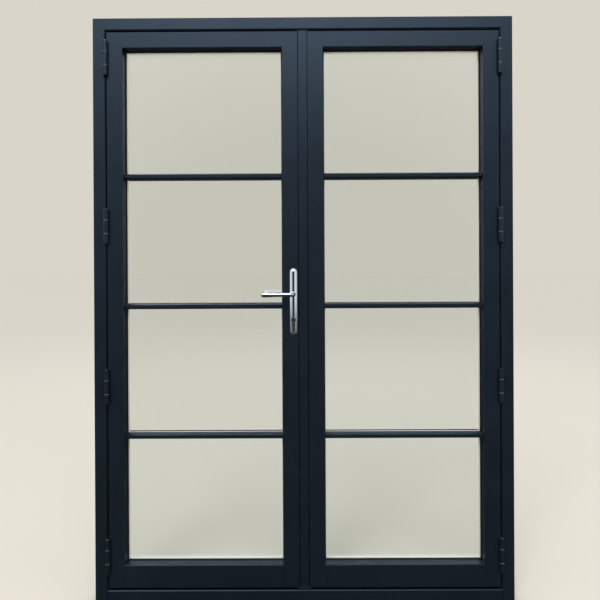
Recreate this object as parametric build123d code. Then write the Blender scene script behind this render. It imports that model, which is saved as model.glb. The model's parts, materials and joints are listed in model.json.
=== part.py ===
"""French doors with their frame: two outward-opening glazed leaves hung on barrel hinges.

Millimetres, +Z up, X to the right, Y from outside to the room. The outer faces lie at y = -DEPTH / 2, where
the viewer stands. The origin is at the bottom centre of the frame. The left leaf is the active one, with the
lock and the lever handles; the right leaf is passive and carries the floating mullion between the two.
Profiles are drawn as (u, y) sections, u running inwards from the member's outer edge.
"""
import os
from math import atan2, cos, pi, sin

from build123d import *

# overall sizes
WIDTH = 1500.0
HEIGHT = 2100.0
DEPTH = 70.0

# frame section
FRAME_FACE = 44.0          # face and bevel, from the outer edge to the rebate
FRAME_BEVEL = 5.0
STOP_LIP = 20.0            # how far the stop behind the leaf reaches past the rebate
SILL_FACE = 50.0           # height of the threshold in front of its stop
SILL_NOSE = 2.5
SIDE_GAP = 5.0             # between leaf and frame at the jambs
HEAD_GAP = 6.0
SILL_GAP = 10.0

# leaf section
MULLION_W = 31.0           # centre strip
MEET_GAP = 2.5             # on each side of the centre strip
FACE_W = 56.0              # stile and top rail, from the edge to the reveal
BOTTOM_FACE = 80.0
LIP = 16.0                 # fixed glazing lip past the rebate floor
EDGE_R = 2.0
FLANGE = 20.0              # part of the leaf that closes on the frame's stop
REVEAL = 37.0              # from the outer face to the back of the lip
FLANGE_Y = 10.0            # room-side face of the flange
STOP_Y = 12.5              # outer face of the frame's stop
BREAK_Y0 = -12.5           # thermal break between the shells
BREAK_Y1 = 5.0
WALL = 1.8
STRIP_T = 1.8
STRIP_SEAT = 1.0           # depth of the grooves that hold the thermal strips
INNER_SETBACK = 4.0        # of the meeting stiles' room-side shell

# glazing
GASKET_T = 4.0
PANE_T = 4.0
CAVITY = 12.0
INNER_GASKET_T = 3.0
GASKET_PROUD = 2.5
EDGE_COVER = 12.0          # glass edge behind the lip
SPACER_H = 7.0
SPACER_PROUD = 3.0
BAR_BASE = 20.0
BAR_FRONT = 11.0
BAR_SETBACK = 11.0         # from the outer face to the front of the outside bars
ROOM_BAR_D = 8.0
PANES_HIGH = 4
BLOCK_L = 100.0            # setting blocks under the glass

# hinges
BARREL_R = 8.5
HINGE_H = 124.0
PIN_R = 4.0
RUN_FIT = 0.06
HINGE_LOW = 116.0          # lowest hinge above the leaf's bottom edge
HINGE_TOP = 95.0           # highest hinge below the leaf's top edge
HINGE_SPOTS = (0.0, 0.34, 0.662, 1.0)
PLATE_T = 2.0

# lock and handle
BACKSET = 18.0
SPINDLE_Z = 1110.0
PLATE_W = 27.0
PLATE_H = 243.0
CYLINDER_DROP = PLATE_H * 92 / 243
PLATE_EDGE = 3.0
PLATE_CROWN = 9.0
PLATE_ABOVE = PLATE_H * 93 / 243    # top of the backplate above the spindle
LEVER_L = 113.0
LEVER_R = 7.9
LEVER_TIP_R = 9.0
LEVER_OUT = 82.0           # lever axis from the middle of the leaf
BEND_R = 16.0
LOCK_Y = -25.0
FACEPLATE_W = 18.0
FACEPLATE_T = 2.5
FACEPLATE_OVER = 90.0      # past the side bolts
CASE_D = 34.0
CASE_FOOT = 10.0           # main case above the backplate's lower screw
CASE_HEAD = 24.0           # and above the latch's axis
SIDE_CASE_D = 36.0
SIDE_CASE_H = 90.0
KEEP_W = 44.0
KEEP_D = 14.0
KEEP_T = 1.5
BOLT_R = 5.0

# derived places
Y0, Y1 = -DEPTH / 2, DEPTH / 2
LEAF_W = (WIDTH - 2 * (FRAME_FACE + SIDE_GAP) - MULLION_W - 2 * MEET_GAP) / 2
LEAF_Z0 = SILL_FACE + SILL_GAP
LEAF_Z1 = HEIGHT - FRAME_FACE - HEAD_GAP
LEAF_H = LEAF_Z1 - LEAF_Z0
LEAF_X0 = -WIDTH / 2 + FRAME_FACE + SIDE_GAP
LEAF_X1 = LEAF_X0 + LEAF_W
LIP_Y = Y0 + REVEAL
GLASS_Y0 = LIP_Y + GASKET_T
GLASS_Y1 = GLASS_Y0 + 2 * PANE_T + CAVITY
BEAD_Y = GLASS_Y1 + INNER_GASKET_T
FLOOR_U = FACE_W - LIP
GLASS_U = FACE_W - EDGE_COVER
SIGHT_X0, SIGHT_X1 = LEAF_X0 + FACE_W, LEAF_X1 - FACE_W
SIGHT_Z0, SIGHT_Z1 = LEAF_Z0 + BOTTOM_FACE, LEAF_Z1 - FACE_W
AXIS_X = LEAF_X0 - SIDE_GAP / 2
AXIS_Y = Y0 - BARREL_R - 0.5
HINGE_Z = [
    LEAF_Z0 + HINGE_LOW + k * (LEAF_H - HINGE_LOW - HINGE_TOP) for k in HINGE_SPOTS
]
UNIT_Z0, UNIT_Z1 = SIGHT_Z0 - EDGE_COVER, SIGHT_Z1 + EDGE_COVER
BAR_Z = [UNIT_Z0 + k * (UNIT_Z1 - UNIT_Z0) / PANES_HIGH for k in range(1, PANES_HIGH)]
SPINDLE_X = LEAF_X1 - BACKSET
CYLINDER_Z = SPINDLE_Z - CYLINDER_DROP
MULLION_X = MULLION_W / 2
MULLION_TOP = LEAF_Z1 + 3.0
RIGHT = Plane.YZ           # the passive leaf is the active one mirrored in this plane


# section and placing tools
def area(*points):
    return Polygon(*points, align=None)


def hollow(shape, wall=WALL):
    return shape - offset(shape, -wall, kind=Kind.INTERSECTION)


def rounded(shape, spots, radius):
    corners = [min(shape.vertices(), key=lambda v: (v.X - a) ** 2 + (v.Y - b) ** 2) for a, b in spots]
    return fillet(corners, radius)


def block(x0, x1, y0, y1, z0, z1):
    return Pos((x0 + x1) / 2, (y0 + y1) / 2, (z0 + z1) / 2) * Box(x1 - x0, y1 - y0, z1 - z0)


def upright(section, x, z0, z1, flip=False):
    """A section standing on its end, u running to +X, or to -X when flipped."""
    bar = extrude(section, z1 - z0, dir=(0, 0, 1))
    if flip:
        bar = mirror(bar, Plane.YZ)
    return Pos(x, 0, z0) * bar


def across(section, z, x0, x1, hanging=False):
    """A section laid along X, u running up from z, or down when hanging."""
    bar = extrude(section, x1 - x0, dir=(0, 0, 1))
    if hanging:
        return Pos(x0, 0, z) * Rot(0, 90, 0) * bar
    return Pos(x1, 0, z) * Rot(0, -90, 0) * bar


def mitre_half(x, z, reach, side, keep_above):
    """A wedge with its long face at 45 degrees through the corner (x, z), on one side of the mitre."""
    corner = (x, z)
    end = (x + side * reach, z - reach)
    third = (x + side * reach, z) if keep_above else (x, z - reach)
    wedge = Plane.XZ * area(corner, end, third)
    return extrude(wedge, DEPTH, both=True)


def ring(x0, x1, z0, z1, width, y0, y1):
    """A flat rectangular ring, its outer outline given, from y0 to y1."""
    outer = block(x0, x1, y0, y1, z0, z1)
    return outer - block(x0 + width, x1 - width, y0 - 1, y1 + 1, z0 + width, z1 - width)


def along_y(x, z, radius, y0, y1):
    return Pos(x, (y0 + y1) / 2, z) * Rot(90, 0, 0) * Cylinder(radius, y1 - y0)


def along_x(y, z, radius, x0, x1):
    return Pos((x0 + x1) / 2, y, z) * Rot(0, 90, 0) * Cylinder(radius, x1 - x0)


def cap_arc(radius, low, top):
    """An arc from (radius, low) up to the axis at (0, top), centred on the axis: the outline of a dome."""
    rise = top - low
    big = (radius ** 2 + rise ** 2) / (2 * rise)
    half = atan2(radius, big - rise) / 2
    return ThreePointArc((radius, low), (big * sin(half), top - big + big * cos(half)), (0, top))


def group(pieces):
    return Compound(children=[s for p in pieces for s in p.solids()])


def both_sides(shape):
    return [shape, mirror(shape, RIGHT)]


# profile sections
def strip_section(u):
    return area(
        (u, BREAK_Y0 - STRIP_SEAT), (u + STRIP_T, BREAK_Y0 - STRIP_SEAT),
        (u + STRIP_T, BREAK_Y1 + STRIP_SEAT), (u, BREAK_Y1 + STRIP_SEAT),
    )


FRAME_STRIPS = (4.0, FRAME_FACE - 6.0)
LEAF_STRIPS = (4.0, FLOOR_U - 6.0)
MEET_STRIPS = (INNER_SETBACK + 2.0, FLOOR_U - 6.0)
RAIL_STRIPS = (4.0, BOTTOM_FACE - LIP - 6.0)
SILL_STRIPS = (4.0, SILL_FACE - 6.0)


def slotted(shell, strips):
    for u in strips:
        shell -= strip_section(u)
    return shell


def frame_outer_section():
    f, b = FRAME_FACE, FRAME_BEVEL
    shape = area((0, Y0), (f - b, Y0), (f, Y0 + b), (f, BREAK_Y0), (0, BREAK_Y0))
    return slotted(hollow(shape), FRAME_STRIPS)


def frame_inner_section():
    f, s = FRAME_FACE, FRAME_FACE + STOP_LIP
    shape = area((0, BREAK_Y1), (f, BREAK_Y1), (f, STOP_Y), (s, STOP_Y), (s, Y1), (0, Y1))
    return slotted(hollow(shape), FRAME_STRIPS)


def sill_outer_section():
    f, b = SILL_FACE, SILL_NOSE
    shape = area((0, Y0), (f - b, Y0), (f, Y0 + b), (f, BREAK_Y0), (0, BREAK_Y0))
    return slotted(hollow(rounded(shape, [(f - b, Y0)], EDGE_R)), SILL_STRIPS)


def sill_inner_section():
    f, s = SILL_FACE, LEAF_Z0 + FLANGE - SIDE_GAP
    shape = area((0, BREAK_Y1), (f, BREAK_Y1), (f, STOP_Y), (s, STOP_Y), (s, Y1), (0, Y1))
    return slotted(hollow(shape), SILL_STRIPS)


def leaf_outer_section(face, strips):
    """Outer shell of a stile or rail, with the fixed lip that holds the glass from outside."""
    floor = face - LIP
    shape = area(
        (0, Y0), (face, Y0), (face, LIP_Y), (floor, LIP_Y), (floor, BREAK_Y0), (0, BREAK_Y0)
    )
    return slotted(hollow(rounded(shape, [(face, Y0)], EDGE_R)), strips)


def leaf_inner_section(face, strips):
    """Room-side shell, stepped back where the frame's stop laps it."""
    floor = face - LIP
    shape = area(
        (0, BREAK_Y1), (floor, BREAK_Y1), (floor, Y1), (FLANGE, Y1), (FLANGE, FLANGE_Y), (0, FLANGE_Y)
    )
    return slotted(hollow(shape), strips)


def meeting_inner_section():
    """Room-side shell of a meeting stile, which has no stop to lap."""
    u = INNER_SETBACK
    shape = area((u, BREAK_Y1), (FLOOR_U, BREAK_Y1), (FLOOR_U, Y1), (u, Y1))
    return slotted(hollow(shape), MEET_STRIPS)


# the frame
def jamb(side):
    corner_x = -WIDTH / 2
    off = mitre_half(corner_x, HEIGHT, FRAME_FACE + STOP_LIP + 5, 1, True)
    shells = [
        upright(s, corner_x, 0, HEIGHT) - off for s in (frame_outer_section(), frame_inner_section())
    ]
    fixing_y = (Y0 + BREAK_Y0) / 2
    for z in FIXING_Z:
        hole = along_x(fixing_y, z, FIXING_R, corner_x - 1, corner_x + FRAME_FACE + 1)
        shells[0] -= hole
    shells[0] -= hinge_screw_holes(FRAME_PLATE_X0)
    if side == "right":
        shells = [mirror(s, RIGHT) for s in shells]
    return group(shells)


FIXING_R = 4.0
FIXING_Z = [HEIGHT * k for k in (1 / 7, 3 / 7, 4 / 7, 6 / 7)]


def head():
    half = WIDTH / 2
    reach = FRAME_FACE + STOP_LIP + 5
    off = mitre_half(-half, HEIGHT, reach, 1, False) + mitre_half(half, HEIGHT, reach, -1, False)
    shells = [
        across(s, HEIGHT, -half, half, hanging=True) - off
        for s in (frame_outer_section(), frame_inner_section())
    ]
    bolt = Pos(0, BOLT_Y, HEIGHT - FRAME_FACE) * Cylinder(BOLT_R + 0.6, 4 * WALL)
    shells[0] -= bolt
    for x in (-WIDTH / 4, WIDTH / 4):
        shells[0] -= Pos(x, (Y0 + BREAK_Y0) / 2, HEIGHT - FRAME_FACE / 2) * Cylinder(
            FIXING_R, FRAME_FACE + 2
        )
    return group(shells)


BOLT_Y = -23.0


def threshold():
    edge = WIDTH / 2 - FRAME_FACE
    outer = across(sill_outer_section(), 0, -edge, edge)
    inner = across(sill_inner_section(), 0, -edge, edge)
    for s in (-1, 1):
        x0, x1 = sorted((s * edge, s * (edge - STOP_LIP)))
        inner -= block(x0 - 1 if s < 0 else x0, x1 if s < 0 else x1 + 1, STOP_Y, Y1 + 1, -1, LEAF_Z0 + 40)
    outer -= Pos(0, BOLT_Y, SILL_FACE) * Cylinder(BOLT_R + 0.6, 4 * WALL)
    for x in (-WIDTH / 4, 0, WIDTH / 4):
        outer -= block(x - 12, x + 12, Y0 - 1, Y0 + WALL + 1, 9, 14)
    return group([outer, inner])


def frame_strips():
    half = WIDTH / 2
    pieces = []
    for u in FRAME_STRIPS:
        off = mitre_half(-half, HEIGHT, FRAME_FACE + STOP_LIP, 1, True)
        post = upright(strip_section(u), -half, 0, HEIGHT) - off
        pieces += both_sides(post)
        reach = FRAME_FACE + STOP_LIP
        cut = mitre_half(-half, HEIGHT, reach, 1, False) + mitre_half(half, HEIGHT, reach, -1, False)
        pieces.append(across(strip_section(u), HEIGHT, -half, half, hanging=True) - cut)
    for u in SILL_STRIPS:
        edge = half - FRAME_FACE
        pieces.append(across(strip_section(u), 0, -edge, edge))
    return group(pieces)


CLEAT_LEG = 42.0


def corner_cleat(x, z, u0, u1, y0, y1):
    """An angle cleat pressed into the chambers at a top left corner (x, z)."""
    reach = u0 + CLEAT_LEG
    shape = area(
        (x + u0, z - u0), (x + reach, z - u0), (x + reach, z - u1),
        (x + u1, z - u1), (x + u1, z - reach), (x + u0, z - reach),
    )
    face = Plane((0, y0, 0), x_dir=(1, 0, 0), z_dir=(0, -1, 0)) * shape
    return extrude(face, y1 - y0, dir=(0, 1, 0))


def frame_cleats():
    x, z = -WIDTH / 2, HEIGHT
    a, b = Y0 + WALL, BREAK_Y0 - WALL
    outer = corner_cleat(x, z, WALL, FRAME_FACE - FRAME_BEVEL - WALL, a, b)
    inner = corner_cleat(x, z, WALL, FRAME_FACE - FRAME_BEVEL - WALL, STOP_Y + WALL, Y1 - WALL)
    foot = block(
        x + FRAME_FACE, x + FRAME_FACE + 40, Y0 + SILL_NOSE + WALL, b, WALL, SILL_FACE - WALL
    )
    return group([p for s in (outer, inner, foot) for p in both_sides(s)])


def seal_ring(x0, x1, z0, z1, width, y0, y1, r):
    """A ring of soft section: flat where it is held, rounded where it meets the leaf."""
    body = ring(x0, x1, z0, z1, width, y0, y1)
    front = body.edges().filter_by_position(Axis.Y, y0 - 0.01, y0 + 0.01)
    return fillet(front, r)


def frame_seal():
    edge = WIDTH / 2 - FRAME_FACE - 8
    return seal_ring(
        -edge, edge, LEAF_Z0 + 6, HEIGHT - FRAME_FACE - 8, 6.0, FLANGE_Y + 0.3, STOP_Y, 0.9
    )


def bolt_keeps():
    """Strike plates for the shoot bolts, on the head and on the threshold."""
    top = HEIGHT - FRAME_FACE
    out = []
    for z0, z1 in ((top - KEEP_T, top), (SILL_FACE, SILL_FACE + KEEP_T)):
        plate = block(-KEEP_W / 2, KEEP_W / 2, BOLT_Y - KEEP_D / 2, BOLT_Y + KEEP_D / 2, z0, z1)
        plate = fillet(plate.edges().filter_by(Axis.Z), 3)
        out.append(plate - Pos(0, BOLT_Y, (z0 + z1) / 2) * Cylinder(BOLT_R + 0.6, 10))
    return group(out)


# the hinges
KNUCKLE_END = 37.0
WASHER_T = 1.2
PLATE_BACK = -6.0


def knuckle(z0, z1, bore):
    body = Pos(AXIS_X, AXIS_Y, (z0 + z1) / 2) * Cylinder(BARREL_R, z1 - z0)
    return body, Pos(AXIS_X, AXIS_Y, (z0 + z1) / 2) * Cylinder(bore, z1 - z0 + 2)


def hinge_plate(x0, x1, y0, z0, z1):
    plate = block(x0, x1, y0, PLATE_BACK, z0, z1)
    return plate


def screw_spots(z):
    return [z - 45, z - 15, z + 15, z + 45]


def countersunk(x_face, direction, y, z):
    """A countersunk screw with its head flush in a face at x_face, its shank along direction."""
    head_r, shank_r, head_h, length = 3.4, SCREW_R, 1.5, 9.0
    shape = area((0, 0), (head_r, 0), (shank_r, head_h), (shank_r, length), (0, length))
    body = revolve(Plane.XZ * shape, Axis.Z)
    turn = Rot(0, 90, 0) if direction > 0 else Rot(0, -90, 0)
    return Pos(x_face, y, z) * turn * body


def screw_row(x_face, direction, z):
    y = (Y0 + PLATE_BACK) / 2 + 3
    return [countersunk(x_face, direction, y, s) for s in screw_spots(z)]


def hinge_screw_holes(x):
    """Holes in the wall of a jamb or stile, at x, for the screws of all its hinges."""
    y = (Y0 + PLATE_BACK) / 2 + 3
    return [along_x(y, s, SCREW_R, x - 3, x + 3) for z in HINGE_Z for s in screw_spots(z)]


SCREW_R = 1.9
FRAME_PLATE_X0 = AXIS_X - SIDE_GAP / 2
FRAME_PLATE_X1 = FRAME_PLATE_X0 + PLATE_T
LEAF_PLATE_X1 = LEAF_X0
LEAF_PLATE_X0 = LEAF_X0 - PLATE_T


def frame_hinge_leaf(z):
    """The part fixed to the jamb: an upper and a lower knuckle on one plate. The lower one is closed below."""
    half = HINGE_H / 2
    shape = hinge_plate(FRAME_PLATE_X0, FRAME_PLATE_X1, Y0, z - half, z + half)
    bores = []
    for z0, z1, b0 in ((z + half - KNUCKLE_END, z + half, -1), (z - half, z - half + KNUCKLE_END, 6)):
        body, _ = knuckle(z0, z1, PIN_R)
        if b0 > 0:
            foot = [e for e in body.edges().filter_by(GeomType.CIRCLE) if e.center().Z < z0 + 0.01]
            body = fillet(foot, 2.5)
        shape += body + block(FRAME_PLATE_X0, FRAME_PLATE_X1, AXIS_Y, Y0 + 1, z0 + 3 * (b0 > 0), z1)
        low = z0 + b0
        bores.append(Pos(AXIS_X, AXIS_Y, (low + z1 + 1) / 2) * Cylinder(PIN_R, z1 + 1 - low))
    for b in bores:
        shape -= b
    for s in screw_row(FRAME_PLATE_X1, -1, z):
        shape -= s
    return shape


def leaf_hinge_leaf(z):
    """The part fixed to the leaf's edge: one knuckle between the frame's two."""
    half = HINGE_H / 2
    run = KNUCKLE_END + WASHER_T + 0.3
    plate = hinge_plate(LEAF_PLATE_X0, LEAF_PLATE_X1, Y0, z - half, z + half)
    z0, z1 = z - half + run, z + half - run
    body, bore = knuckle(z0, z1, PIN_R + RUN_FIT)
    shape = plate + body + block(LEAF_PLATE_X0, LEAF_PLATE_X1, AXIS_Y, Y0 + 1, z0, z1) - bore
    for s in screw_row(LEAF_PLATE_X0, 1, z):
        shape -= s
    return shape


def hinge_pin(z):
    """Pin with a domed head that closes the barrel's top."""
    half = HINGE_H / 2
    low, top, r = z - half + 6, z + half, BARREL_R
    line = Polyline((0, top + 3.4), (0, low), (PIN_R - 0.8, low), (PIN_R, low + 0.8), (PIN_R, top),
                    (r, top), (r, top + 0.8))
    shape = make_face(line + cap_arc(r, top + 0.8, top + 3.4))
    return Pos(AXIS_X, AXIS_Y, 0) * revolve(Plane.XZ * shape, Axis.Z)


def hinge_washers(z):
    half = HINGE_H / 2
    out = []
    for level in (z + half - KNUCKLE_END - WASHER_T / 2, z - half + KNUCKLE_END + WASHER_T / 2):
        disc = Pos(AXIS_X, AXIS_Y, level)
        out.append(disc * Cylinder(BARREL_R - 0.4, WASHER_T) - disc * Cylinder(PIN_R, WASHER_T + 1))
    return out


# the leaves, drawn as the left one
def top_mitre(keep_top):
    reach = FACE_W + 10
    left = mitre_half(LEAF_X0, LEAF_Z1, reach, 1, not keep_top)
    right = mitre_half(LEAF_X1, LEAF_Z1, reach, -1, not keep_top)
    return left, right


def end_notches(x0, x1):
    """Room-side notches where the head's and the threshold's stops lap the leaf."""
    low = block(x0, x1, FLANGE_Y, Y1 + 1, LEAF_Z0 - 1, LEAF_Z0 + FLANGE)
    high = block(x0, x1, FLANGE_Y, Y1 + 1, LEAF_Z1 - FLANGE, LEAF_Z1 + 10)
    return low + high


def hinge_stile():
    left, _ = top_mitre(False)
    notch = end_notches(LEAF_X0 - 1, LEAF_X0 + FACE_W)
    outer = upright(leaf_outer_section(FACE_W, LEAF_STRIPS), LEAF_X0, LEAF_Z0, LEAF_Z1) - left
    outer -= hinge_screw_holes(LEAF_X0)
    inner = upright(leaf_inner_section(FACE_W, LEAF_STRIPS), LEAF_X0, LEAF_Z0, LEAF_Z1) - left - notch
    return [outer, inner]


def meeting_stile():
    _, right = top_mitre(False)
    notch = end_notches(LEAF_X1 - FACE_W, LEAF_X1 + 1)
    outer = upright(leaf_outer_section(FACE_W, MEET_STRIPS), LEAF_X1, LEAF_Z0, LEAF_Z1, True) - right
    inner = upright(meeting_inner_section(), LEAF_X1, LEAF_Z0, LEAF_Z1, True) - right - notch
    return [outer, inner]


def top_rail():
    left, right = top_mitre(True)
    return [
        across(s, LEAF_Z1, LEAF_X0, LEAF_X1, hanging=True) - left - right
        for s in (leaf_outer_section(FACE_W, LEAF_STRIPS), leaf_inner_section(FACE_W, LEAF_STRIPS))
    ]


def bottom_rail():
    outer = across(leaf_outer_section(BOTTOM_FACE, RAIL_STRIPS), LEAF_Z0, SIGHT_X0, SIGHT_X1)
    inner = across(
        leaf_inner_section(BOTTOM_FACE, RAIL_STRIPS), LEAF_Z0, LEAF_X0 + FLOOR_U, LEAF_X1 - FLOOR_U
    )
    for k in (0.25, 0.75):
        x = SIGHT_X0 + k * (SIGHT_X1 - SIGHT_X0)
        outer -= block(x - 12, x + 12, Y0 + 7, Y0 + 12, LEAF_Z0 - 1, LEAF_Z0 + WALL + 1)
    return [outer, inner]


def leaf_strips():
    left, _ = top_mitre(False)
    _, right = top_mitre(False)
    rail_left, rail_right = top_mitre(True)
    out = []
    for u in LEAF_STRIPS:
        out.append(upright(strip_section(u), LEAF_X0, LEAF_Z0, LEAF_Z1) - left)
        out.append(
            across(strip_section(u), LEAF_Z1, LEAF_X0, LEAF_X1, hanging=True) - rail_left - rail_right
        )
    for u in MEET_STRIPS:
        out.append(upright(strip_section(u), LEAF_X1, LEAF_Z0, LEAF_Z1, True) - right)
    for u in RAIL_STRIPS:
        out.append(across(strip_section(u), LEAF_Z0, SIGHT_X0, SIGHT_X1))
    return out


def leaf_cleats():
    a, b = Y0 + WALL, BREAK_Y0 - WALL
    left = corner_cleat(LEAF_X0, LEAF_Z1, WALL, FLOOR_U - WALL, a, b)
    inner = corner_cleat(
        LEAF_X0, LEAF_Z1, FLANGE + WALL, FLOOR_U - WALL, FLANGE_Y + WALL, Y1 - WALL
    )
    middle = Plane.YZ.offset((LEAF_X0 + LEAF_X1) / 2)
    right, inner_right = mirror(left, middle), mirror(inner, middle)
    out = [left, inner, right, inner_right]
    for x0 in (SIGHT_X0, SIGHT_X1 - 40):
        out.append(
            block(x0, x0 + 40, a, b, LEAF_Z0 + WALL, LEAF_Z0 + BOTTOM_FACE - LIP - WALL)
        )
    return out


def pane(y0):
    return block(
        LEAF_X0 + GLASS_U, LEAF_X1 - GLASS_U, y0, y0 + PANE_T,
        UNIT_Z0, UNIT_Z1,
    )


def panes():
    return [pane(GLASS_Y0), pane(GLASS_Y1 - PANE_T)]


def around_sight(inward, width, y0, y1):
    """A ring whose inner outline stands inward of the lip's edge by inward."""
    grow = width - inward
    return ring(
        SIGHT_X0 - grow, SIGHT_X1 + grow, SIGHT_Z0 - grow, SIGHT_Z1 + grow, width, y0, y1
    )


def spacer():
    return around_sight(GASKET_PROUD + SPACER_PROUD, SPACER_H, GLASS_Y0 + PANE_T, GLASS_Y1 - PANE_T)


def unit_seal():
    inner = GASKET_PROUD + SPACER_PROUD - SPACER_H
    return around_sight(inner, EDGE_COVER + inner, GLASS_Y0 + PANE_T, GLASS_Y1 - PANE_T)


def bead_section():
    """Snap-in bead on the room side, hollow, with a rounded sight edge."""
    shape = area((0, BEAD_Y), (LIP, BEAD_Y), (LIP, Y1), (0, Y1))
    return hollow(rounded(shape, [(LIP, Y1)], EDGE_R), 1.4)


def beads():
    section = bead_section()
    x0, x1 = LEAF_X0 + FLOOR_U, LEAF_X1 - FLOOR_U
    z0, z1 = SIGHT_Z0 - LIP, SIGHT_Z1 + LIP
    posts = [
        upright(section, x0, z0 + LIP, z1 - LIP),
        upright(section, x1, z0 + LIP, z1 - LIP, True),
    ]
    rails = [across(section, z0, x0, x1), across(section, z1, x0, x1, hanging=True)]
    return posts + rails


def soft_ring(inward, width, y0, y1, glass_at):
    """A glazing gasket: square where it is held, chamfered on its visible edge."""
    body = around_sight(inward, width, y0, y1)
    sight = [
        e for e in body.edges()
        if abs(e.center().Y - (y0 + y1 - glass_at)) < 0.01 and (
            SIGHT_X0 - 1 < e.center().X < SIGHT_X1 + 1 and SIGHT_Z0 - 1 < e.center().Z < SIGHT_Z1 + 1
        )
    ]
    return chamfer(sight, 1.6)


def gaskets():
    outer = soft_ring(GASKET_PROUD, GASKET_PROUD + 7, LIP_Y, GLASS_Y0, GLASS_Y0)
    inner = soft_ring(GASKET_PROUD - 0.5, GASKET_PROUD + 6, GLASS_Y1, BEAD_Y, GLASS_Y1)
    return [outer, inner]


def bar_section(base, front, y_glass, y_front):
    """Half widths taper near the front so that the bar shows a slope above and below its flat."""
    turn = y_front + (y_glass - y_front) * 0.36
    return area(
        (-base / 2, y_glass), (base / 2, y_glass), (base / 2, turn),
        (front / 2, y_front), (-front / 2, y_front), (-base / 2, turn),
    )


def bars():
    out = []
    y_front = Y0 + BAR_SETBACK
    for z in BAR_Z:
        bar = across(
            hollow(bar_section(BAR_BASE, BAR_FRONT, GLASS_Y0, y_front), 1.5), z, SIGHT_X0, SIGHT_X1
        )
        room = across(
            bar_section(BAR_BASE, BAR_FRONT, GLASS_Y1, GLASS_Y1 + ROOM_BAR_D), z, SIGHT_X0, SIGHT_X1
        )
        for x0, x1 in ((SIGHT_X0 - 1, SIGHT_X0 + GASKET_PROUD), (SIGHT_X1 - GASKET_PROUD, SIGHT_X1 + 1)):
            bar -= block(x0, x1, LIP_Y, GLASS_Y0 + 1, z - BAR_BASE, z + BAR_BASE)
            room -= block(x0, x1, GLASS_Y1 - 1, BEAD_Y, z - BAR_BASE, z + BAR_BASE)
        out += [bar, room]
    return out


def setting_blocks():
    z1 = SIGHT_Z0 - EDGE_COVER
    out = []
    for k in (0.2, 0.8):
        x = LEAF_X0 + LEAF_W * k
        a, b = x - BLOCK_L / 2, x + BLOCK_L / 2
        out.append(block(a, b, GLASS_Y0 + 1, GLASS_Y1 - 1, SIGHT_Z0 - LIP, z1))
    return out


# the lock and the handle
LATCH_Z = SPINDLE_Z + 36.0
DEADBOLT_Z = SPINDLE_Z - 48.0
SIDE_BOLT_Z = [LEAF_Z0 + LEAF_H * k for k in (0.24, 0.78)]
BOLT_T = 10.0
BOLT_HIGH = 28.0
THROW_DEPTH = 26.0
CASE_T = 15.0


def euro_profile(x, z, y0, y1, grow=0.0):
    """The outline of a profile cylinder: a round above and a narrow web below, along Y."""
    r, w, drop = 8.5 + grow, 5.0 + grow, 24.5 + grow
    rounds = along_y(x, z, r, y0, y1)
    web = block(x - w, x + w, y0, y1, z - drop + w, z)
    toe = along_y(x, z - drop + w, w, y0, y1)
    return rounds + web + toe


def bolt_slot(z, grow, x0, x1, high=BOLT_HIGH):
    return block(
        x0, x1, LOCK_Y - BOLT_T / 2 - grow, LOCK_Y + BOLT_T / 2 + grow, z - high / 2 - grow, z + high / 2 + grow
    )


FACEPLATE_Z0 = SIDE_BOLT_Z[0] - FACEPLATE_OVER
FACEPLATE_Z1 = SIDE_BOLT_Z[1] + FACEPLATE_OVER


def faceplate_blank(grow=0.0):
    return block(
        LEAF_X1 - FACEPLATE_T, LEAF_X1 + grow, LOCK_Y - FACEPLATE_W / 2, LOCK_Y + FACEPLATE_W / 2,
        FACEPLATE_Z0, FACEPLATE_Z1,
    )


def faceplate():
    plate = faceplate_blank()
    for z in [DEADBOLT_Z, LATCH_Z] + SIDE_BOLT_Z:
        plate -= bolt_slot(z, 0.3, LEAF_X1 - 10, LEAF_X1 + 5)
    return plate


def case_box(z0, z1, depth):
    return block(
        LEAF_X1 - FACEPLATE_T - depth, LEAF_X1 - FACEPLATE_T, LOCK_Y - CASE_T / 2, LOCK_Y + CASE_T / 2, z0, z1
    )


def lock_cases():
    main = case_box(HANDLE_SCREW_Z[0] + CASE_FOOT, LATCH_Z + CASE_HEAD, CASE_D)
    main = fillet(
        [e for e in main.edges().filter_by(Axis.Y) if e.center().X < LEAF_X1 - 20], 5
    )
    main -= along_y(SPINDLE_X, SPINDLE_Z, 6.5, Y0, Y1)
    main -= euro_profile(SPINDLE_X, CYLINDER_Z, Y0, Y1, 0.3)
    room = LEAF_X1 - FACEPLATE_T - THROW_DEPTH - 6
    for z in (DEADBOLT_Z, LATCH_Z):
        main -= bolt_slot(z, 0.3, room, LEAF_X1)
    out = [main]
    for z in SIDE_BOLT_Z:
        case = case_box(z - SIDE_CASE_H / 2, z + SIDE_CASE_H / 2, SIDE_CASE_D)
        out.append(case - bolt_slot(z, 0.3, room, LEAF_X1))
    return out


def lock_bolts():
    """The dead bolt and the two side bolts, drawn back into their cases."""
    out = []
    for z in [DEADBOLT_Z] + SIDE_BOLT_Z:
        bolt = bolt_slot(z, 0.0, LEAF_X1 - THROW_DEPTH - 1, LEAF_X1 - 0.5)
        nose = [e for e in bolt.edges() if e.center().X > LEAF_X1 - 1]
        out.append(chamfer(nose, 1.0))
    return out


LATCH_OUT = 1.2


def latch_bolt():
    """Latch with its sloping nose, which stands only in the gap beside the mullion."""
    x1 = LEAF_X1 + LATCH_OUT
    y0, y1 = LOCK_Y - BOLT_T / 2, LOCK_Y + BOLT_T / 2
    shape = area((x1 - 24, y0), (x1 - 4, y0), (x1, y1 - 2), (x1, y1), (x1 - 24, y1))
    high = BOLT_HIGH
    return Pos(0, 0, LATCH_Z - high / 2) * extrude(shape, high, dir=(0, 0, 1))


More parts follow.
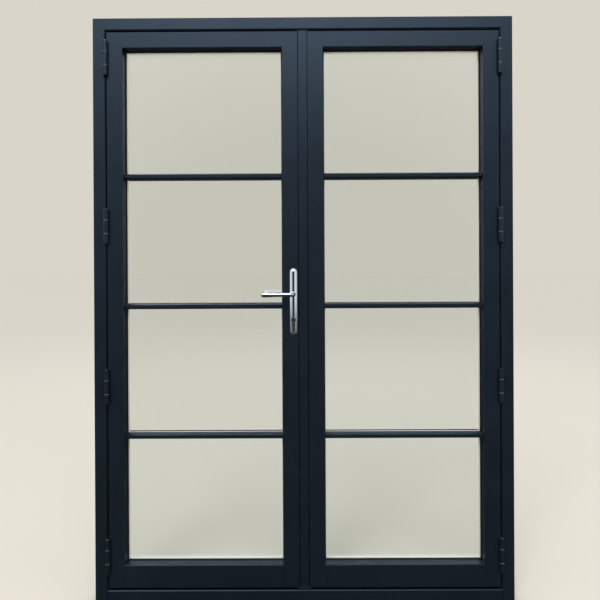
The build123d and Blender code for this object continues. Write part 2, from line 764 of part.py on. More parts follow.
def bored_lock_stile():
    """The active leaf's meeting stile, cut for the lock, its faceplate and the handle."""
    outer, inner = meeting_stile()
    outer -= faceplate_blank(grow=1.0)
    cut_x = LEAF_X1 - WALL - 1
    outer -= block(cut_x, LEAF_X1 + 1, LOCK_Y - CASE_T / 2 - 0.5, LOCK_Y + CASE_T / 2 + 0.5,
                   HANDLE_SCREW_Z[0] + CASE_FOOT - 1, LATCH_Z + CASE_HEAD + 1)
    for z in SIDE_BOLT_Z:
        outer -= block(cut_x, LEAF_X1 + 1, LOCK_Y - CASE_T / 2 - 0.5, LOCK_Y + CASE_T / 2 + 0.5,
                       z - SIDE_CASE_H / 2 - 1, z + SIDE_CASE_H / 2 + 1)
    for cut in (
        along_y(SPINDLE_X, SPINDLE_Z, 7.5, Y0 - 1, Y1 + 1),
        euro_profile(SPINDLE_X, CYLINDER_Z, Y0 - 1, Y1 + 1, 0.3),
        *[along_y(SPINDLE_X, z, HANDLE_SCREW_R, Y0 - 1, Y1 + 1) for z in HANDLE_SCREW_Z],
    ):
        outer -= cut
        inner -= cut
    return group([outer, inner])


def active_strips():
    cut = along_y(SPINDLE_X, SPINDLE_Z, 7.5, Y0, Y1) + euro_profile(SPINDLE_X, CYLINDER_Z, Y0, Y1, 0.3)
    return group([s - cut for s in leaf_strips()])


def cylinder():
    """Profile cylinder: keyway outside, bored through for the thumbturn on the room side."""
    front, back = Y0 - PLATE_CROWN - 1.5, Y1 + PLATE_CROWN + 1.5
    body = euro_profile(SPINDLE_X, CYLINDER_Z, front, back)
    body -= along_y(SPINDLE_X, CYLINDER_Z, 5.0, 0, back + 1)
    body -= along_y(SPINDLE_X, CYLINDER_Z, 6.6, front - 1, front + 0.6)
    plug = along_y(SPINDLE_X, CYLINDER_Z, 6.3, front + 0.3, front + 2)
    body += plug
    body -= block(SPINDLE_X - 0.9, SPINDLE_X + 0.9, front - 1, front + 14, CYLINDER_Z - 4.5, CYLINDER_Z + 3.0)
    return body


KNOB_R = 10.0


def thumbturn():
    """Shaft in the cylinder's bore with a waisted knob flattened for the fingers."""
    start = Y1 + PLATE_CROWN + 2.0
    shaft = along_y(SPINDLE_X, CYLINDER_Z, 5.0 - RUN_FIT, 2, start + 1)
    line = Polyline((0, 0), (7.0, 0), (7.0, 2.0), (5.6, 4.0))
    side = ThreePointArc((5.6, 4.0), (7.6, 8.5), (KNOB_R, 12.0))
    top = Polyline((KNOB_R, 12.0), (KNOB_R, 15.0), (KNOB_R - 1.2, 16.2), (0, 16.2), (0, 0))
    knob = revolve(Plane.XZ * make_face(line + side + top), Axis.Z)
    for s in (-1, 1):
        knob -= Pos(s * 9.6, 0, 11.5) * Box(8.0, 30, 10.0)
    knob = Pos(SPINDLE_X, start, CYLINDER_Z) * Rot(-90, 0, 0) * knob
    return shaft + knob


def backplate(room):
    """Long plate with a crowned section and turned ends, bored for the lever and cut for the cylinder."""
    half, edge, crown = PLATE_W / 2, PLATE_EDGE, PLATE_CROWN
    outline = Polyline((0, crown), (0, 0), (half, 0), (half, edge - 0.8), (half - 0.8, edge))
    half_section = make_face(outline + cap_arc(half - 0.8, edge, crown))
    section = half_section + mirror(half_section, Plane.YZ)
    z0, z1 = PLATE_Z1 - PLATE_H, PLATE_Z1
    run = PLATE_H - PLATE_W
    body = extrude(Plane.XZ * section, run / 2, both=True)
    for s in (-1, 1):
        end = revolve(Plane.XZ * half_section, Axis.Z)
        body += Pos(0, s * run / 2, 0) * end
    # drawn flat with its crown to +Z and its length along Y, then stood up against the leaf
    body = Pos(SPINDLE_X, Y0, (z0 + z1) / 2) * Rot(90, 0, 0) * body
    body -= along_y(SPINDLE_X, SPINDLE_Z, NECK_R + RUN_FIT, Y0 - crown - 1, Y0 + 1)
    body -= euro_profile(SPINDLE_X, CYLINDER_Z, Y0 - crown - 1, Y0 + 1, 0.35)
    if room:
        body = mirror(body, Plane.XZ)
    for screw in handle_screws(slot=False):
        body -= screw
        if room:
            z = screw.bounding_box().center().Z
            body -= along_y(SPINDLE_X, z, HANDLE_HEAD_R, Y1 + HANDLE_HEAD_Y, Y1 + crown + 1)
    return body


PLATE_Z1 = SPINDLE_Z + PLATE_ABOVE
NECK_R = 8.6


def lever(room):
    """Round lever on a turned neck: a quarter bend, then a bar that swells towards its rounded end."""
    neck_end = -LEVER_OUT + BEND_R
    seat = Y0 - 2.0
    neck = revolve(
        Plane.XY * make_face(Polyline(
            (0, seat), (NECK_R, seat), (NECK_R, Y0 - PLATE_CROWN - 3.0), (LEVER_R, Y0 - PLATE_CROWN - 5.5),
            (LEVER_R, neck_end), (0, neck_end), (0, seat),
        )),
        Axis.Y,
    )
    ring_face = Plane((0, neck_end, 0), x_dir=(1, 0, 0), z_dir=(0, 1, 0)) * Circle(LEVER_R)
    bend = revolve(ring_face, Axis((-BEND_R, neck_end, 0), (0, 0, 1)), -90)
    tip_r = LEVER_TIP_R
    x_start, x_tip = -BEND_R, -LEVER_L
    half_outline = make_face(
        Polyline((x_start, 0), (x_start, LEVER_R))
        + Spline(
            (x_start, LEVER_R), (x_start - 35, LEVER_R - 0.5), (x_tip + tip_r, tip_r),
            tangents=[(-1, 0), (-1, 0)],
        )
        + ThreePointArc(
            (x_tip + tip_r, tip_r), (x_tip + tip_r * (1 - sin(pi / 4)), tip_r * sin(pi / 4)), (x_tip, 0)
        )
        + Line((x_tip, 0), (x_start, 0))
    )
    bar = Pos(0, -LEVER_OUT, 0) * revolve(half_outline, Axis.X)
    shape = neck + bend + bar
    shape -= block(-4, 4, Y0 - 22, Y0, -4, 4)
    shape = Pos(SPINDLE_X, 0, SPINDLE_Z) * shape
    return mirror(shape, Plane.XZ) if room else shape


def spindle():
    reach = Y1 + 20
    return block(SPINDLE_X - 4, SPINDLE_X + 4, -reach, reach, SPINDLE_Z - 4, SPINDLE_Z + 4)


def handle_screws(slot=True):
    """Two through bolts that clamp the backplates, with countersunk heads in the room side's plate."""
    r, head = HANDLE_SCREW_R, HANDLE_HEAD_R
    line = Polyline(
        (0, Y0 - 4), (r, Y0 - 4), (r, Y1 + HANDLE_HEAD_Y - head + r), (head, Y1 + HANDLE_HEAD_Y),
        (0, Y1 + HANDLE_HEAD_Y), (0, Y0 - 4),
    )
    screw = revolve(make_face(line), Axis.Y)
    if slot:
        screw -= block(-2.6, 2.6, Y1 + HANDLE_HEAD_Y - 1.2, Y1 + HANDLE_HEAD_Y + 1, -0.5, 0.5)
    return [Pos(SPINDLE_X, 0, z) * screw for z in HANDLE_SCREW_Z]


HANDLE_SCREW_R = 2.4
HANDLE_HEAD_R = 4.4
HANDLE_HEAD_Y = 7.8
HANDLE_SCREW_Z = (PLATE_Z1 - PLATE_H + 14, PLATE_Z1 - 14)


# the floating mullion on the passive leaf
MULLION_STEP = 3.0


def mullion_section():
    """Centre strip: flush with both faces, narrower behind, with a tongue against the passive stile."""
    half, tongue = MULLION_X, MULLION_X + MEET_GAP
    shape = area(
        (-half, Y0), (half, Y0), (half, BREAK_Y0), (tongue, BREAK_Y0), (tongue, FLANGE_Y - 2),
        (half, FLANGE_Y - 2), (half, Y1), (-half + MULLION_STEP, Y1), (-half + MULLION_STEP, BREAK_Y0),
        (-half, BREAK_Y0),
    )
    return hollow(shape, 2.0)


def mullion():
    bar = extrude(mullion_section() - seal_groove(), MULLION_TOP - LEAF_Z0 - 2 * CAP_T, dir=(0, 0, 1))
    bar = Pos(0, 0, LEAF_Z0 + CAP_T) * bar
    bar -= end_notches(-MULLION_X - 1, MULLION_X + MEET_GAP + 1)
    for z in [DEADBOLT_Z] + SIDE_BOLT_Z:
        bar -= bolt_slot(z, 1.2, -MULLION_X - 1, -MULLION_X + 3)
    for z0, z1 in SLIDER_SLOTS:
        bar -= block(-MULLION_X - 1, -MULLION_X + 3, BOLT_Y - 5.5, BOLT_Y + 5.5, z0, z1)
    return bar


SEAL_Y0, SEAL_Y1 = BREAK_Y0 - 4.9, BREAK_Y0 - 1.0
SEAL_LIP = MEET_GAP - 0.7       # short of the leaf, which swings past it
SEAL_HEEL = MEET_GAP - 0.8
SEAL_STEM = 2.2
SEAL_ROOT = 1.2


def seal_groove():
    """The groove in the mullion's flank that holds the stem of the meeting seal."""
    x, y = -MULLION_X, (SEAL_Y0 + SEAL_Y1) / 2
    a, b = y - SEAL_STEM / 2, y + SEAL_STEM / 2
    return area((x - 1, a), (x + SEAL_ROOT, a), (x + SEAL_ROOT, b), (x - 1, b))


def meeting_seal():
    """Rubber strip on the mullion's flank that closes the gap to the active leaf."""
    x, mid = -MULLION_X, (SEAL_Y0 + SEAL_Y1) / 2
    a, b = mid - SEAL_STEM / 2, mid + SEAL_STEM / 2
    face = area((x, SEAL_Y0), (x - SEAL_LIP, SEAL_Y0), (x - SEAL_HEEL, SEAL_Y1), (x, SEAL_Y1),
                (x, b), (x + SEAL_ROOT, b), (x + SEAL_ROOT, a), (x, a))
    return Pos(0, 0, LEAF_Z0 + CAP_T) * extrude(face, MULLION_TOP - LEAF_Z0 - 2 * CAP_T, dir=(0, 0, 1))


CAP_T = 3.0
BOLT_TRAVEL = 16.0
BOLT_ROD = 330.0
SLIDER_H = 34.0


def slider_slot(z, direction):
    """The slot in which a shoot bolt's finger slide runs, from its rest place z along direction."""
    low, high = z - SLIDER_H / 2, z + SLIDER_H / 2
    return (low - 1, high + BOLT_TRAVEL + 1) if direction > 0 else (low - BOLT_TRAVEL - 1, high + 1)


SLIDER_TOP = MULLION_TOP - BOLT_ROD + 25
SLIDER_LOW = LEAF_Z0 + BOLT_ROD - 25
SLIDER_SLOTS = [slider_slot(SLIDER_TOP, 1), slider_slot(SLIDER_LOW, -1)]


def mullion_caps():
    """Plastic end caps that close the mullion and guide the shoot bolts."""
    half = MULLION_X
    face = area((-half, Y0), (half, Y0), (half, FLANGE_Y), (-half + MULLION_STEP, FLANGE_Y),
                (-half + MULLION_STEP, BREAK_Y0), (-half, BREAK_Y0))
    out = []
    for z in (LEAF_Z0, MULLION_TOP - CAP_T):
        cap = Pos(0, 0, z) * extrude(face, CAP_T, dir=(0, 0, 1))
        out.append(cap - Pos(0, BOLT_Y, z + CAP_T / 2) * Cylinder(BOLT_R + RUN_FIT, CAP_T + 2))
    return group(out)


def shoot_bolt(top):
    """Round rod with a finger slide, drawn back inside the mullion."""
    z_end = MULLION_TOP - 0.5 if top else LEAF_Z0 + 0.5
    z_in = z_end - BOLT_ROD if top else z_end + BOLT_ROD
    low, high = sorted((z_end, z_in))
    rod = Pos(0, BOLT_Y, (low + high) / 2) * Cylinder(BOLT_R, high - low)
    tip = [e for e in rod.edges().filter_by(GeomType.CIRCLE) if abs(e.center().Z - z_end) < 0.01]
    rod = chamfer(tip, 1.2)
    z = SLIDER_TOP if top else SLIDER_LOW
    slide = block(-MULLION_X + 0.6, 0, BOLT_Y - 5.2, BOLT_Y + 5.2, z - SLIDER_H / 2, z + SLIDER_H / 2)
    slide -= block(-MULLION_X, -MULLION_X + 5, BOLT_Y - 6, BOLT_Y + 6, z - 8, z + 8)
    return rod + slide


def build():
    hinges_frame = [frame_hinge_leaf(z) for z in HINGE_Z]
    hinges_leaf = [leaf_hinge_leaf(z) for z in HINGE_Z]
    frame_screws = [s for z in HINGE_Z for s in screw_row(FRAME_PLATE_X1, -1, z)]
    leaf_screws = [s for z in HINGE_Z for s in screw_row(LEAF_PLATE_X0, 1, z)]
    pins = [hinge_pin(z) for z in HINGE_Z]
    washers = [w for z in HINGE_Z for w in hinge_washers(z)]

    def two(pieces):
        return group([m for p in pieces for m in both_sides(p)])

    parts = {
        "frame_head": head(),
        "frame_jamb_left": jamb("left"),
        "frame_jamb_right": jamb("right"),
        "threshold": threshold(),
        "frame_thermal_strips": frame_strips(),
        "frame_corner_cleats": frame_cleats(),
        "frame_seal": frame_seal(),
        "bolt_keeps": bolt_keeps(),
        "frame_hinge_leaves": two(hinges_frame),
        "frame_hinge_screws": two(frame_screws),
        "hinge_pins": two(pins),
        "hinge_washers": two(washers),
        "active_lock_stile": bored_lock_stile(),
        "active_thermal_strips": active_strips(),
        "passive_meeting_stile": mirror(group(meeting_stile()), RIGHT),
        "passive_thermal_strips": mirror(group(leaf_strips()), RIGHT),
        "lock_faceplate": faceplate(),
        "lock_cases": group(lock_cases()),
        "lock_bolts": group(lock_bolts()),
        "latch_bolt": latch_bolt(),
        "lock_cylinder": cylinder(),
        "thumbturn": thumbturn(),
        "outside_backplate": backplate(False),
        "inside_backplate": backplate(True),
        "outside_lever": lever(False),
        "inside_lever": lever(True),
        "lever_spindle": spindle(),
        "backplate_screws": group(handle_screws()),
        "floating_mullion": mullion(),
        "mullion_end_caps": mullion_caps(),
        "meeting_seal": meeting_seal(),
        "shoot_bolt_top": shoot_bolt(True),
        "shoot_bolt_bottom": shoot_bolt(False),
    }
    shared = {
        "hinge_stile": hinge_stile(),
        "top_rail": top_rail(),
        "bottom_rail": bottom_rail(),
        "corner_cleats": leaf_cleats(),
        "panes": panes(),
        "spacer": [spacer()],
        "unit_edge_seal": [unit_seal()],
        "glazing_beads": beads(),
        "glazing_gaskets": gaskets(),
        "glazing_bars": bars(),
        "setting_blocks": setting_blocks(),
        "hinge_leaves": hinges_leaf,
        "hinge_screws": leaf_screws,
    }
    for name, pieces in shared.items():
        left = group(pieces)
        parts["active_" + name] = left
        parts["passive_" + name] = mirror(left, RIGHT)
    return parts


os.makedirs("parts", exist_ok=True)
for node, shape in build().items():
    export_step(shape, f"parts/{node}.step")
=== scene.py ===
# %% [markdown]
# # French doors
# Two glazed aluminium leaves in their own frame, hung on barrel hinges and closed against a slim
# floating mullion. The solid model comes ready made: every bar of metal, pane and screw is already
# in its place, in metres, and rides on the body that it moves with. This notebook dresses it. It
# sets up the view and the light, gives each part the finish of the real material, and models the
# small pieces that only matter to the eye.

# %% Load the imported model
import json
from math import cos, pi, radians, sin
import bpy
from mathutils import Matrix, Vector


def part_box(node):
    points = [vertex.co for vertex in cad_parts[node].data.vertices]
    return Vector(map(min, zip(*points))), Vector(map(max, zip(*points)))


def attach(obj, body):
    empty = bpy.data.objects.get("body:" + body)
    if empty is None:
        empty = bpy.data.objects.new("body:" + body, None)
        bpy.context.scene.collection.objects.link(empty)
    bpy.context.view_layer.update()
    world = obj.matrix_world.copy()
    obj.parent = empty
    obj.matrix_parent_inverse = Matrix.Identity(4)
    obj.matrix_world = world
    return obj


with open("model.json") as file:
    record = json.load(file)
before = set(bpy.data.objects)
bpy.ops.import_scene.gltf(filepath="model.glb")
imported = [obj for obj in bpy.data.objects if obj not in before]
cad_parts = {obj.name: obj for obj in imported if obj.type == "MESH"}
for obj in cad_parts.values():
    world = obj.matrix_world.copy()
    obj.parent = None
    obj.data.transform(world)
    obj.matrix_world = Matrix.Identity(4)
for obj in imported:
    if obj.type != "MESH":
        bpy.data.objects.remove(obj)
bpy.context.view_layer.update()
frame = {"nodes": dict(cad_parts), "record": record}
nodes = frame["nodes"]

# %% [markdown]
# ## The view
# The photograph was taken standing about two metres in front of the doors, at a height of about 1.2
# metres, with the camera level. Its frame was then cut out of a larger picture, so the horizon lies
# a little above the middle. A small vertical shift of the lens does the same, where tilting the
# camera would make the stiles lean together.

# %% The camera
IMAGE_SIDE = 600
FOCAL_PX = 580.0            # focal length in picture points
HORIZON_PX = 267.5          # height of the horizon, counted from the top
CAMERA_AT = Vector((-0.0045, -2.110, 1.208))
YAW, PITCH, ROLL = 0.0035, -0.0013, 0.0048

camera_data = bpy.data.cameras.new("camera")
camera_data.sensor_width = 36.0
camera_data.lens = camera_data.sensor_width * FOCAL_PX / IMAGE_SIDE
camera_data.shift_y = -(IMAGE_SIDE / 2 - HORIZON_PX) / IMAGE_SIDE
camera = bpy.data.objects.new("camera", camera_data)
bpy.context.scene.collection.objects.link(camera)
turn = (
    Matrix.Rotation(YAW, 4, "Z")
    @ Matrix.Rotation(PITCH, 4, "X")
    @ Matrix.Rotation(ROLL, 4, "Y")
    @ Matrix.Rotation(pi / 2, 4, "X")
)
camera.matrix_world = Matrix.Translation(CAMERA_AT) @ turn
bpy.context.scene.camera = camera
print("lens", round(camera_data.lens, 1), "mm, shift", round(camera_data.shift_y, 3))

# %% [markdown]
# ## Colours and shader nodes
# Colours are written as the hex values that a painter would look up. Blender works with linear
# light, so one function turns them over. A second function adds a node to a material and links its
# sockets, which keeps the recipes below short.

# %% Two helpers


def linear(code):
    """A hex colour such as 2B3036, as linear red, green, blue and alpha."""
    parts = [int(code[i : i + 2], 16) / 255 for i in (0, 2, 4)]
    return [c / 12.92 if c <= 0.04045 else ((c + 0.055) / 1.055) ** 2.4 for c in parts] + [1.0]


def add(tree, kind, links=(), **settings):
    """A new node with its settings, which are properties of the node or values of its sockets."""
    node = tree.nodes.new(kind)
    for name, value in settings.items():
        if hasattr(node, name):
            setattr(node, name, value)
        else:
            node.inputs[name.replace("_", " ")].default_value = value
    for socket, source in dict(links).items():
        tree.links.new(source, node.inputs[socket])
    return node


print("anthracite in linear light:", [round(c, 4) for c in linear("30363D")])

# %% [markdown]
# ## The floor
# A plain floor of a warm pale colour. What shines would show it as a bright sheet, and the lower
# half of a dark door would turn grey. So in mirrors, which Glossy Depth tells apart, the floor is
# painted dim near the doors: a painted dark reflection, not a colour of the floor. Where it is far
# away it takes on the colour that mirrors see above it, which keeps a horizon line out of the
# panes. That colour is dim straight ahead, as if someone stood there, and pale and a little blue
# to the sides and above.

# %% The room that mirrors see, and the floor
# the dim grey is a painted dark reflection: only mirrors see the floor near the doors this dark
PALE_PAINT, PAINTED_FLOOR_REFLECTION = "DAD5CA", "3A3B3C"
ROOM_AHEAD, ROOM_ASIDE = "171B20", "EAF0F5"
DIM_UNTIL, BRIGHT_FROM = 0.2, 0.75    # how far aside a direction points, 0 being straight ahead
DIM_METRES, FAR_METRES = 5.0, 20.0    # mirrors see the floor brighten between these distances
UPWARDS = 1.25                # how much more a direction counts for pointing up than aside
FLOOR_METRES = 160            # so wide that its edge is lost on the horizon


def room_seen(tree, direction):
    """The colour that a mirror sees in a direction: dim ahead, pale and bluish aside and above."""
    flat = add(tree, "ShaderNodeVectorMath", {0: direction}, operation="MULTIPLY")
    flat.inputs[1].default_value = (1, 0, UPWARDS)
    aside = add(tree, "ShaderNodeVectorMath", {0: flat.outputs[0]}, operation="LENGTH")
    room = add(tree, "ShaderNodeValToRGB", {"Fac": aside.outputs["Value"]})
    room.color_ramp.interpolation = "EASE"
    dim, bright = room.color_ramp.elements
    dim.position, bright.position = DIM_UNTIL, BRIGHT_FROM
    dim.color, bright.color = linear(ROOM_AHEAD), linear(ROOM_ASIDE)
    return room.outputs["Color"]


bpy.ops.object.select_all(action="DESELECT")
bpy.ops.mesh.primitive_plane_add(size=FLOOR_METRES)
floor = bpy.context.object
floor.name = "studio_floor"
floor_paint = bpy.data.materials.new("matt floor paint")
floor_paint.use_nodes = True
tree = floor_paint.node_tree
matt = tree.nodes["Principled BSDF"]
matt.inputs["Base Color"].default_value = linear(PALE_PAINT)
matt.inputs["Roughness"].default_value = 1.0
matt.inputs["Specular IOR Level"].default_value = 0.0
spot = add(tree, "ShaderNodeTexCoord").outputs["Object"]
ahead = add(tree, "ShaderNodeVectorMath", {0: spot}, operation="NORMALIZE")
away = add(tree, "ShaderNodeVectorMath", {0: spot}, operation="LENGTH")
far = add(
    tree, "ShaderNodeMapRange", {"Value": away.outputs["Value"]},
    interpolation_type="SMOOTHSTEP", From_Min=DIM_METRES, From_Max=FAR_METRES,
)
# painted dark reflection: mirrors see the near floor in a dim grey that fades with distance
shown = add(
    tree, "ShaderNodeMixRGB", {0: far.outputs["Result"], 2: room_seen(tree, ahead.outputs[0])},
    Color1=linear(PAINTED_FLOOR_REFLECTION),
)
mirrored = add(tree, "ShaderNodeBsdfDiffuse", {"Color": shown.outputs[0]})
depth = add(tree, "ShaderNodeLightPath").outputs["Glossy Depth"]
floor_seen = add(
    tree, "ShaderNodeMixShader", {0: depth, 1: matt.outputs[0], 2: mirrored.outputs[0]}
)
tree.links.new(floor_seen.outputs[0], tree.nodes["Material Output"].inputs["Surface"])
floor.data.materials.append(floor_paint)
print("the floor is matt, and mirrors see it fade over", FAR_METRES - DIM_METRES, "metres")

# %% [markdown]
# ## The world
# The world gives an even light, the same from every direction. The background is drawn apart from
# that light, in the colour of the floor, for the rays that reach it from the camera or through the
# glass. Mirrors see the room of the cell above instead, so chrome shows a dark line between two
# bright ones, and satin paint a sheen that fades downwards.

# %% The world
AMBIENT = 0.84

world = bpy.data.worlds.new("studio")
bpy.context.scene.world = world
world.use_nodes = True
sky = world.node_tree
sky.nodes.clear()
path = add(sky, "ShaderNodeLightPath")
direct = add(
    sky, "ShaderNodeMath",
    {0: path.outputs["Is Camera Ray"], 1: path.outputs["Is Transmission Ray"]},
    operation="MAXIMUM",
)
seen = add(
    sky, "ShaderNodeMath", {0: direct.outputs[0], 1: path.outputs["Glossy Depth"]},
    operation="SUBTRACT", use_clamp=True,
)
glossy = add(sky, "ShaderNodeMath", {0: path.outputs["Glossy Depth"]}, operation="MINIMUM")
glossy.inputs[1].default_value = 1.0
ambient = add(sky, "ShaderNodeBackground", Color=linear("FFFFFF"), Strength=AMBIENT)
backdrop = add(sky, "ShaderNodeBackground", Color=linear(PALE_PAINT), Strength=1.0)
direction = add(sky, "ShaderNodeTexCoord").outputs["Generated"]
room = add(sky, "ShaderNodeBackground", {"Color": room_seen(sky, direction)}, Strength=1.0)
lit = add(
    sky, "ShaderNodeMixShader",
    {0: glossy.outputs[0], 1: ambient.outputs[0], 2: room.outputs[0]},
)
either = add(
    sky, "ShaderNodeMixShader",
    {0: seen.outputs[0], 1: lit.outputs[0], 2: backdrop.outputs[0]},
)
add(sky, "ShaderNodeOutputWorld", {0: either.outputs[0]})
print("the world shines with", AMBIENT, "and the background is drawn in", PALE_PAINT)

# %% [markdown]
# ## The lamps
# One wide, soft sun from the upper left gives the edges their shading. Two softboxes hang above the
# doors, one outside and one in the room. They stand just higher than what the panes mirror towards
# the camera, so the glass stays clear while the coat brightens near the top. With the world they
# light a level surface to about 1, so a colour renders about as it is written.

# %% Lamps
SUN_STRENGTH, SUN_SOFTNESS = 0.66, radians(20)
SUN_HEIGHT, SUN_SIDE = radians(46), radians(-24)
SUN_AWAY = 6                  # metres; a sun lights alike from any distance
SOFTBOX_SIZE = (5.0, 2.0)     # metres
FRONT_WATTS, ROOM_WATTS = 130, 40
DOOR_MIDDLE = (0, 0, 1.2)


def aim(lamp, place, target):
    """Puts a lamp at a place and turns it to a target."""
    lamp.location = place
    toward = Vector(target) - Vector(place)
    lamp.rotation_euler = toward.to_track_quat("-Z", "Y").to_euler()
    bpy.context.scene.collection.objects.link(lamp)
    return lamp


def softbox(name, place, watts):
    """A wide soft lamp over the doors, which chrome and paint show but the picture doesn't."""
    data = bpy.data.lights.new(name, "AREA")
    data.shape = "RECTANGLE"
    data.size, data.size_y = SOFTBOX_SIZE
    data.energy = watts
    lamp = aim(bpy.data.objects.new(name, data), place, DOOR_MIDDLE)
    lamp.visible_camera = lamp.visible_transmission = False


sun_data = bpy.data.lights.new("sun", "SUN")
sun_data.energy = SUN_STRENGTH
sun_data.angle = SUN_SOFTNESS
outwards = cos(SUN_HEIGHT)
sun_from = Vector((sin(SUN_SIDE) * outwards, -cos(SUN_SIDE) * outwards, sin(SUN_HEIGHT)))
aim(bpy.data.objects.new("sun", sun_data), sun_from * SUN_AWAY, (0, 0, 0))
softbox("softbox_front", (-0.1, -5.0, 5.1), FRONT_WATTS)
softbox("softbox_room", (0.6, 5.0, 5.2), ROOM_WATTS)
bpy.context.scene.view_settings.view_transform = "Standard"
sun_light = SUN_STRENGTH / pi * sin(SUN_HEIGHT)
print("world and sun light a level surface to", round(AMBIENT + sun_light, 2))

# %% [markdown]
# ## Helpers for finishes
# Every finish below is a Principled shader with one or two noises on it. The noises follow Object
# coordinates, so they stay on a piece when it moves, and their sizes are given in millimetres. A
# noise can move a value, mix two colours or raise a fine relief.

# %% Helpers for finishes
MM_IN_METRE = 1000.0
NOISE_LOW, NOISE_HIGH = 0.3, 0.7    # nearly all of a noise lies between these two values


def surface(name, color, rough, **more):
    """A material with a Principled shader; gives the material, its tree, shader and coordinates."""
    made = bpy.data.materials.new(name)
    made.use_nodes = True
    tree = made.node_tree
    shader = tree.nodes["Principled BSDF"]
    shader.inputs["Base Color"].default_value = linear(color)
    shader.inputs["Roughness"].default_value = rough
    for socket, value in more.items():
        shader.inputs[socket.replace("_", " ")].default_value = value
    place = add(tree, "ShaderNodeTexCoord")
    return made, tree, shader, place.outputs["Object"]


def grain(tree, place, size, detail=2.0, stretch=(1, 1, 1)):
    """Noise of a real size in millimetres, drawn out along an axis where stretch is below 1."""
    if stretch != (1, 1, 1):
        place = add(tree, "ShaderNodeMapping", {"Vector": place}, Scale=stretch).outputs[0]
    noise = add(
        tree, "ShaderNodeTexNoise", {"Vector": place}, Scale=MM_IN_METRE / size, Detail=detail
    )
    return noise.outputs["Fac"]


def vary(tree, source, low, high, socket):
    """Lets a noise move a value between two limits."""
    spread = add(
        tree, "ShaderNodeMapRange", {"Value": source},
        From_Min=NOISE_LOW, From_Max=NOISE_HIGH, To_Min=low, To_Max=high,
    )
    tree.links.new(spread.outputs["Result"], socket)


def blend_colors(tree, source, first, second, socket):
    """Lets a noise mix two colours."""
    ramp = add(tree, "ShaderNodeValToRGB", {"Fac": source})
    start_stop, end_stop = ramp.color_ramp.elements
    start_stop.position, end_stop.position = NOISE_LOW, NOISE_HIGH
    start_stop.color, end_stop.color = linear(first), linear(second)
    tree.links.new(ramp.outputs["Color"], socket)


def relief(tree, source, depth_mm, shader):
    """Turns a noise into a relief of a real depth in millimetres."""
    depth = depth_mm / MM_IN_METRE
    bump = add(tree, "ShaderNodeBump", {"Height": source}, Distance=depth, Strength=1.0)
    tree.links.new(bump.outputs["Normal"], shader.inputs["Normal"])


print("a noise of 2 mm has the scale", MM_IN_METRE / 2)

# %% [markdown]
# ## The powder coat
# The profiles are extruded aluminium with a sprayed polyester powder, baked to a satin anthracite.
# Close up it has a fine orange peel, one and a half millimetres across and only a hundredth deep.
# Its specular tint is a light blue, a painted reflection that gives the sheen the blue of a sky.
# A Principled shader with the IOR of polyester does the gloss and one noise the peel. A wider noise
# changes the gloss a little from place to place, and a very wide one keeps large faces from looking
# printed.

# %% The powder coat
PEEL_MM, PEEL_DEEP_MM = 1.6, 0.012
HAZE_MM, CLOUD_MM = 60, 240

# the light blue specular tint is a painted sky reflection in the sheen
powder, tree, shader, place = surface(
    "anthracite powder coat", "11181F", 0.38,
    IOR=1.5, Specular_IOR_Level=0.5, Specular_Tint=linear("BEDCFF"),
)
cloud = grain(tree, place, CLOUD_MM)
blend_colors(tree, cloud, "0F161C", "131A22", shader.inputs["Base Color"])
vary(tree, grain(tree, place, HAZE_MM), 0.35, 0.41, shader.inputs["Roughness"])
relief(tree, grain(tree, place, PEEL_MM), PEEL_DEEP_MM, shader)
print("made", powder.name)

# %% [markdown]
# ## Rubber and plastics
# The glazing gaskets and the closing seals are EPDM rubber: black, dull and a little greasy, so the
# rim of a lip still catches light. Glass-filled polyamide, which holds the inner and outer shells
# apart, is black and matt with a slight grain. The bearing rings are acetal, which is smooth and
# waxy, and the glazing packers are plain polypropylene. The spacer between the panes is aluminium,
# but what the eye meets is its white baked coating, so it is made like a plastic. The first number
# of each relief is the width of its grain in millimetres and the second its depth.

# %% Rubber and plastic materials
rubber, tree, shader, place = surface(
    "EPDM rubber", "131415", 0.72, IOR=1.48, Specular_IOR_Level=0.3
)
relief(tree, grain(tree, place, 0.9), 0.01, shader)

sealant, tree, shader, place = surface("polysulfide edge sealant", "17181A", 0.55, IOR=1.5)
relief(tree, grain(tree, place, 4), 0.08, shader)

polyamide, tree, shader, place = surface(
    "glass-filled polyamide", "161617", 0.66, IOR=1.53, Specular_IOR_Level=0.35
)
relief(tree, grain(tree, place, 0.7), 0.01, shader)

packer, tree, shader, place = surface("moulded polypropylene", "3A5A86", 0.42, IOR=1.49)
relief(tree, grain(tree, place, 1.2), 0.01, shader)

acetal, tree, shader, place = surface("acetal", "8C8C89", 0.35, IOR=1.48)
relief(tree, grain(tree, place, 1.5), 0.004, shader)

spacer, tree, shader, place = surface("white coated aluminium spacer", "E6E4DE", 0.5, IOR=1.5)
relief(tree, grain(tree, place, 1.0), 0.006, shader)
print("made", ", ".join(m.name for m in (rubber, sealant, polyamide, packer, acetal, spacer)))

# %% [markdown]
# ## Metals
# The handles are zinc castings, polished and chrome plated, so they mirror the room: a bright line
# where they see the light and black where they see the dark door. The cylinder is nickel-plated
# brass, satin rather than mirror. The faceplate, the upright bolts with their keeps and all the
# screws are brushed stainless steel. The lock's cases and bolts are zinc-plated, and the hinge pins
# turned and burnished. The cleats in the corners are bare aluminium as it leaves the die. A metal
# needs no IOR; its colour and its roughness tell them apart. Brushed and drawn lines are a noise
# that is stretched along the part.

# %% Metal materials
chrome, tree, shader, place = surface("polished chrome plate", "E2E4E6", 0.06, Metallic=1.0)
vary(tree, grain(tree, place, 14, 3), 0.045, 0.10, shader.inputs["Roughness"])

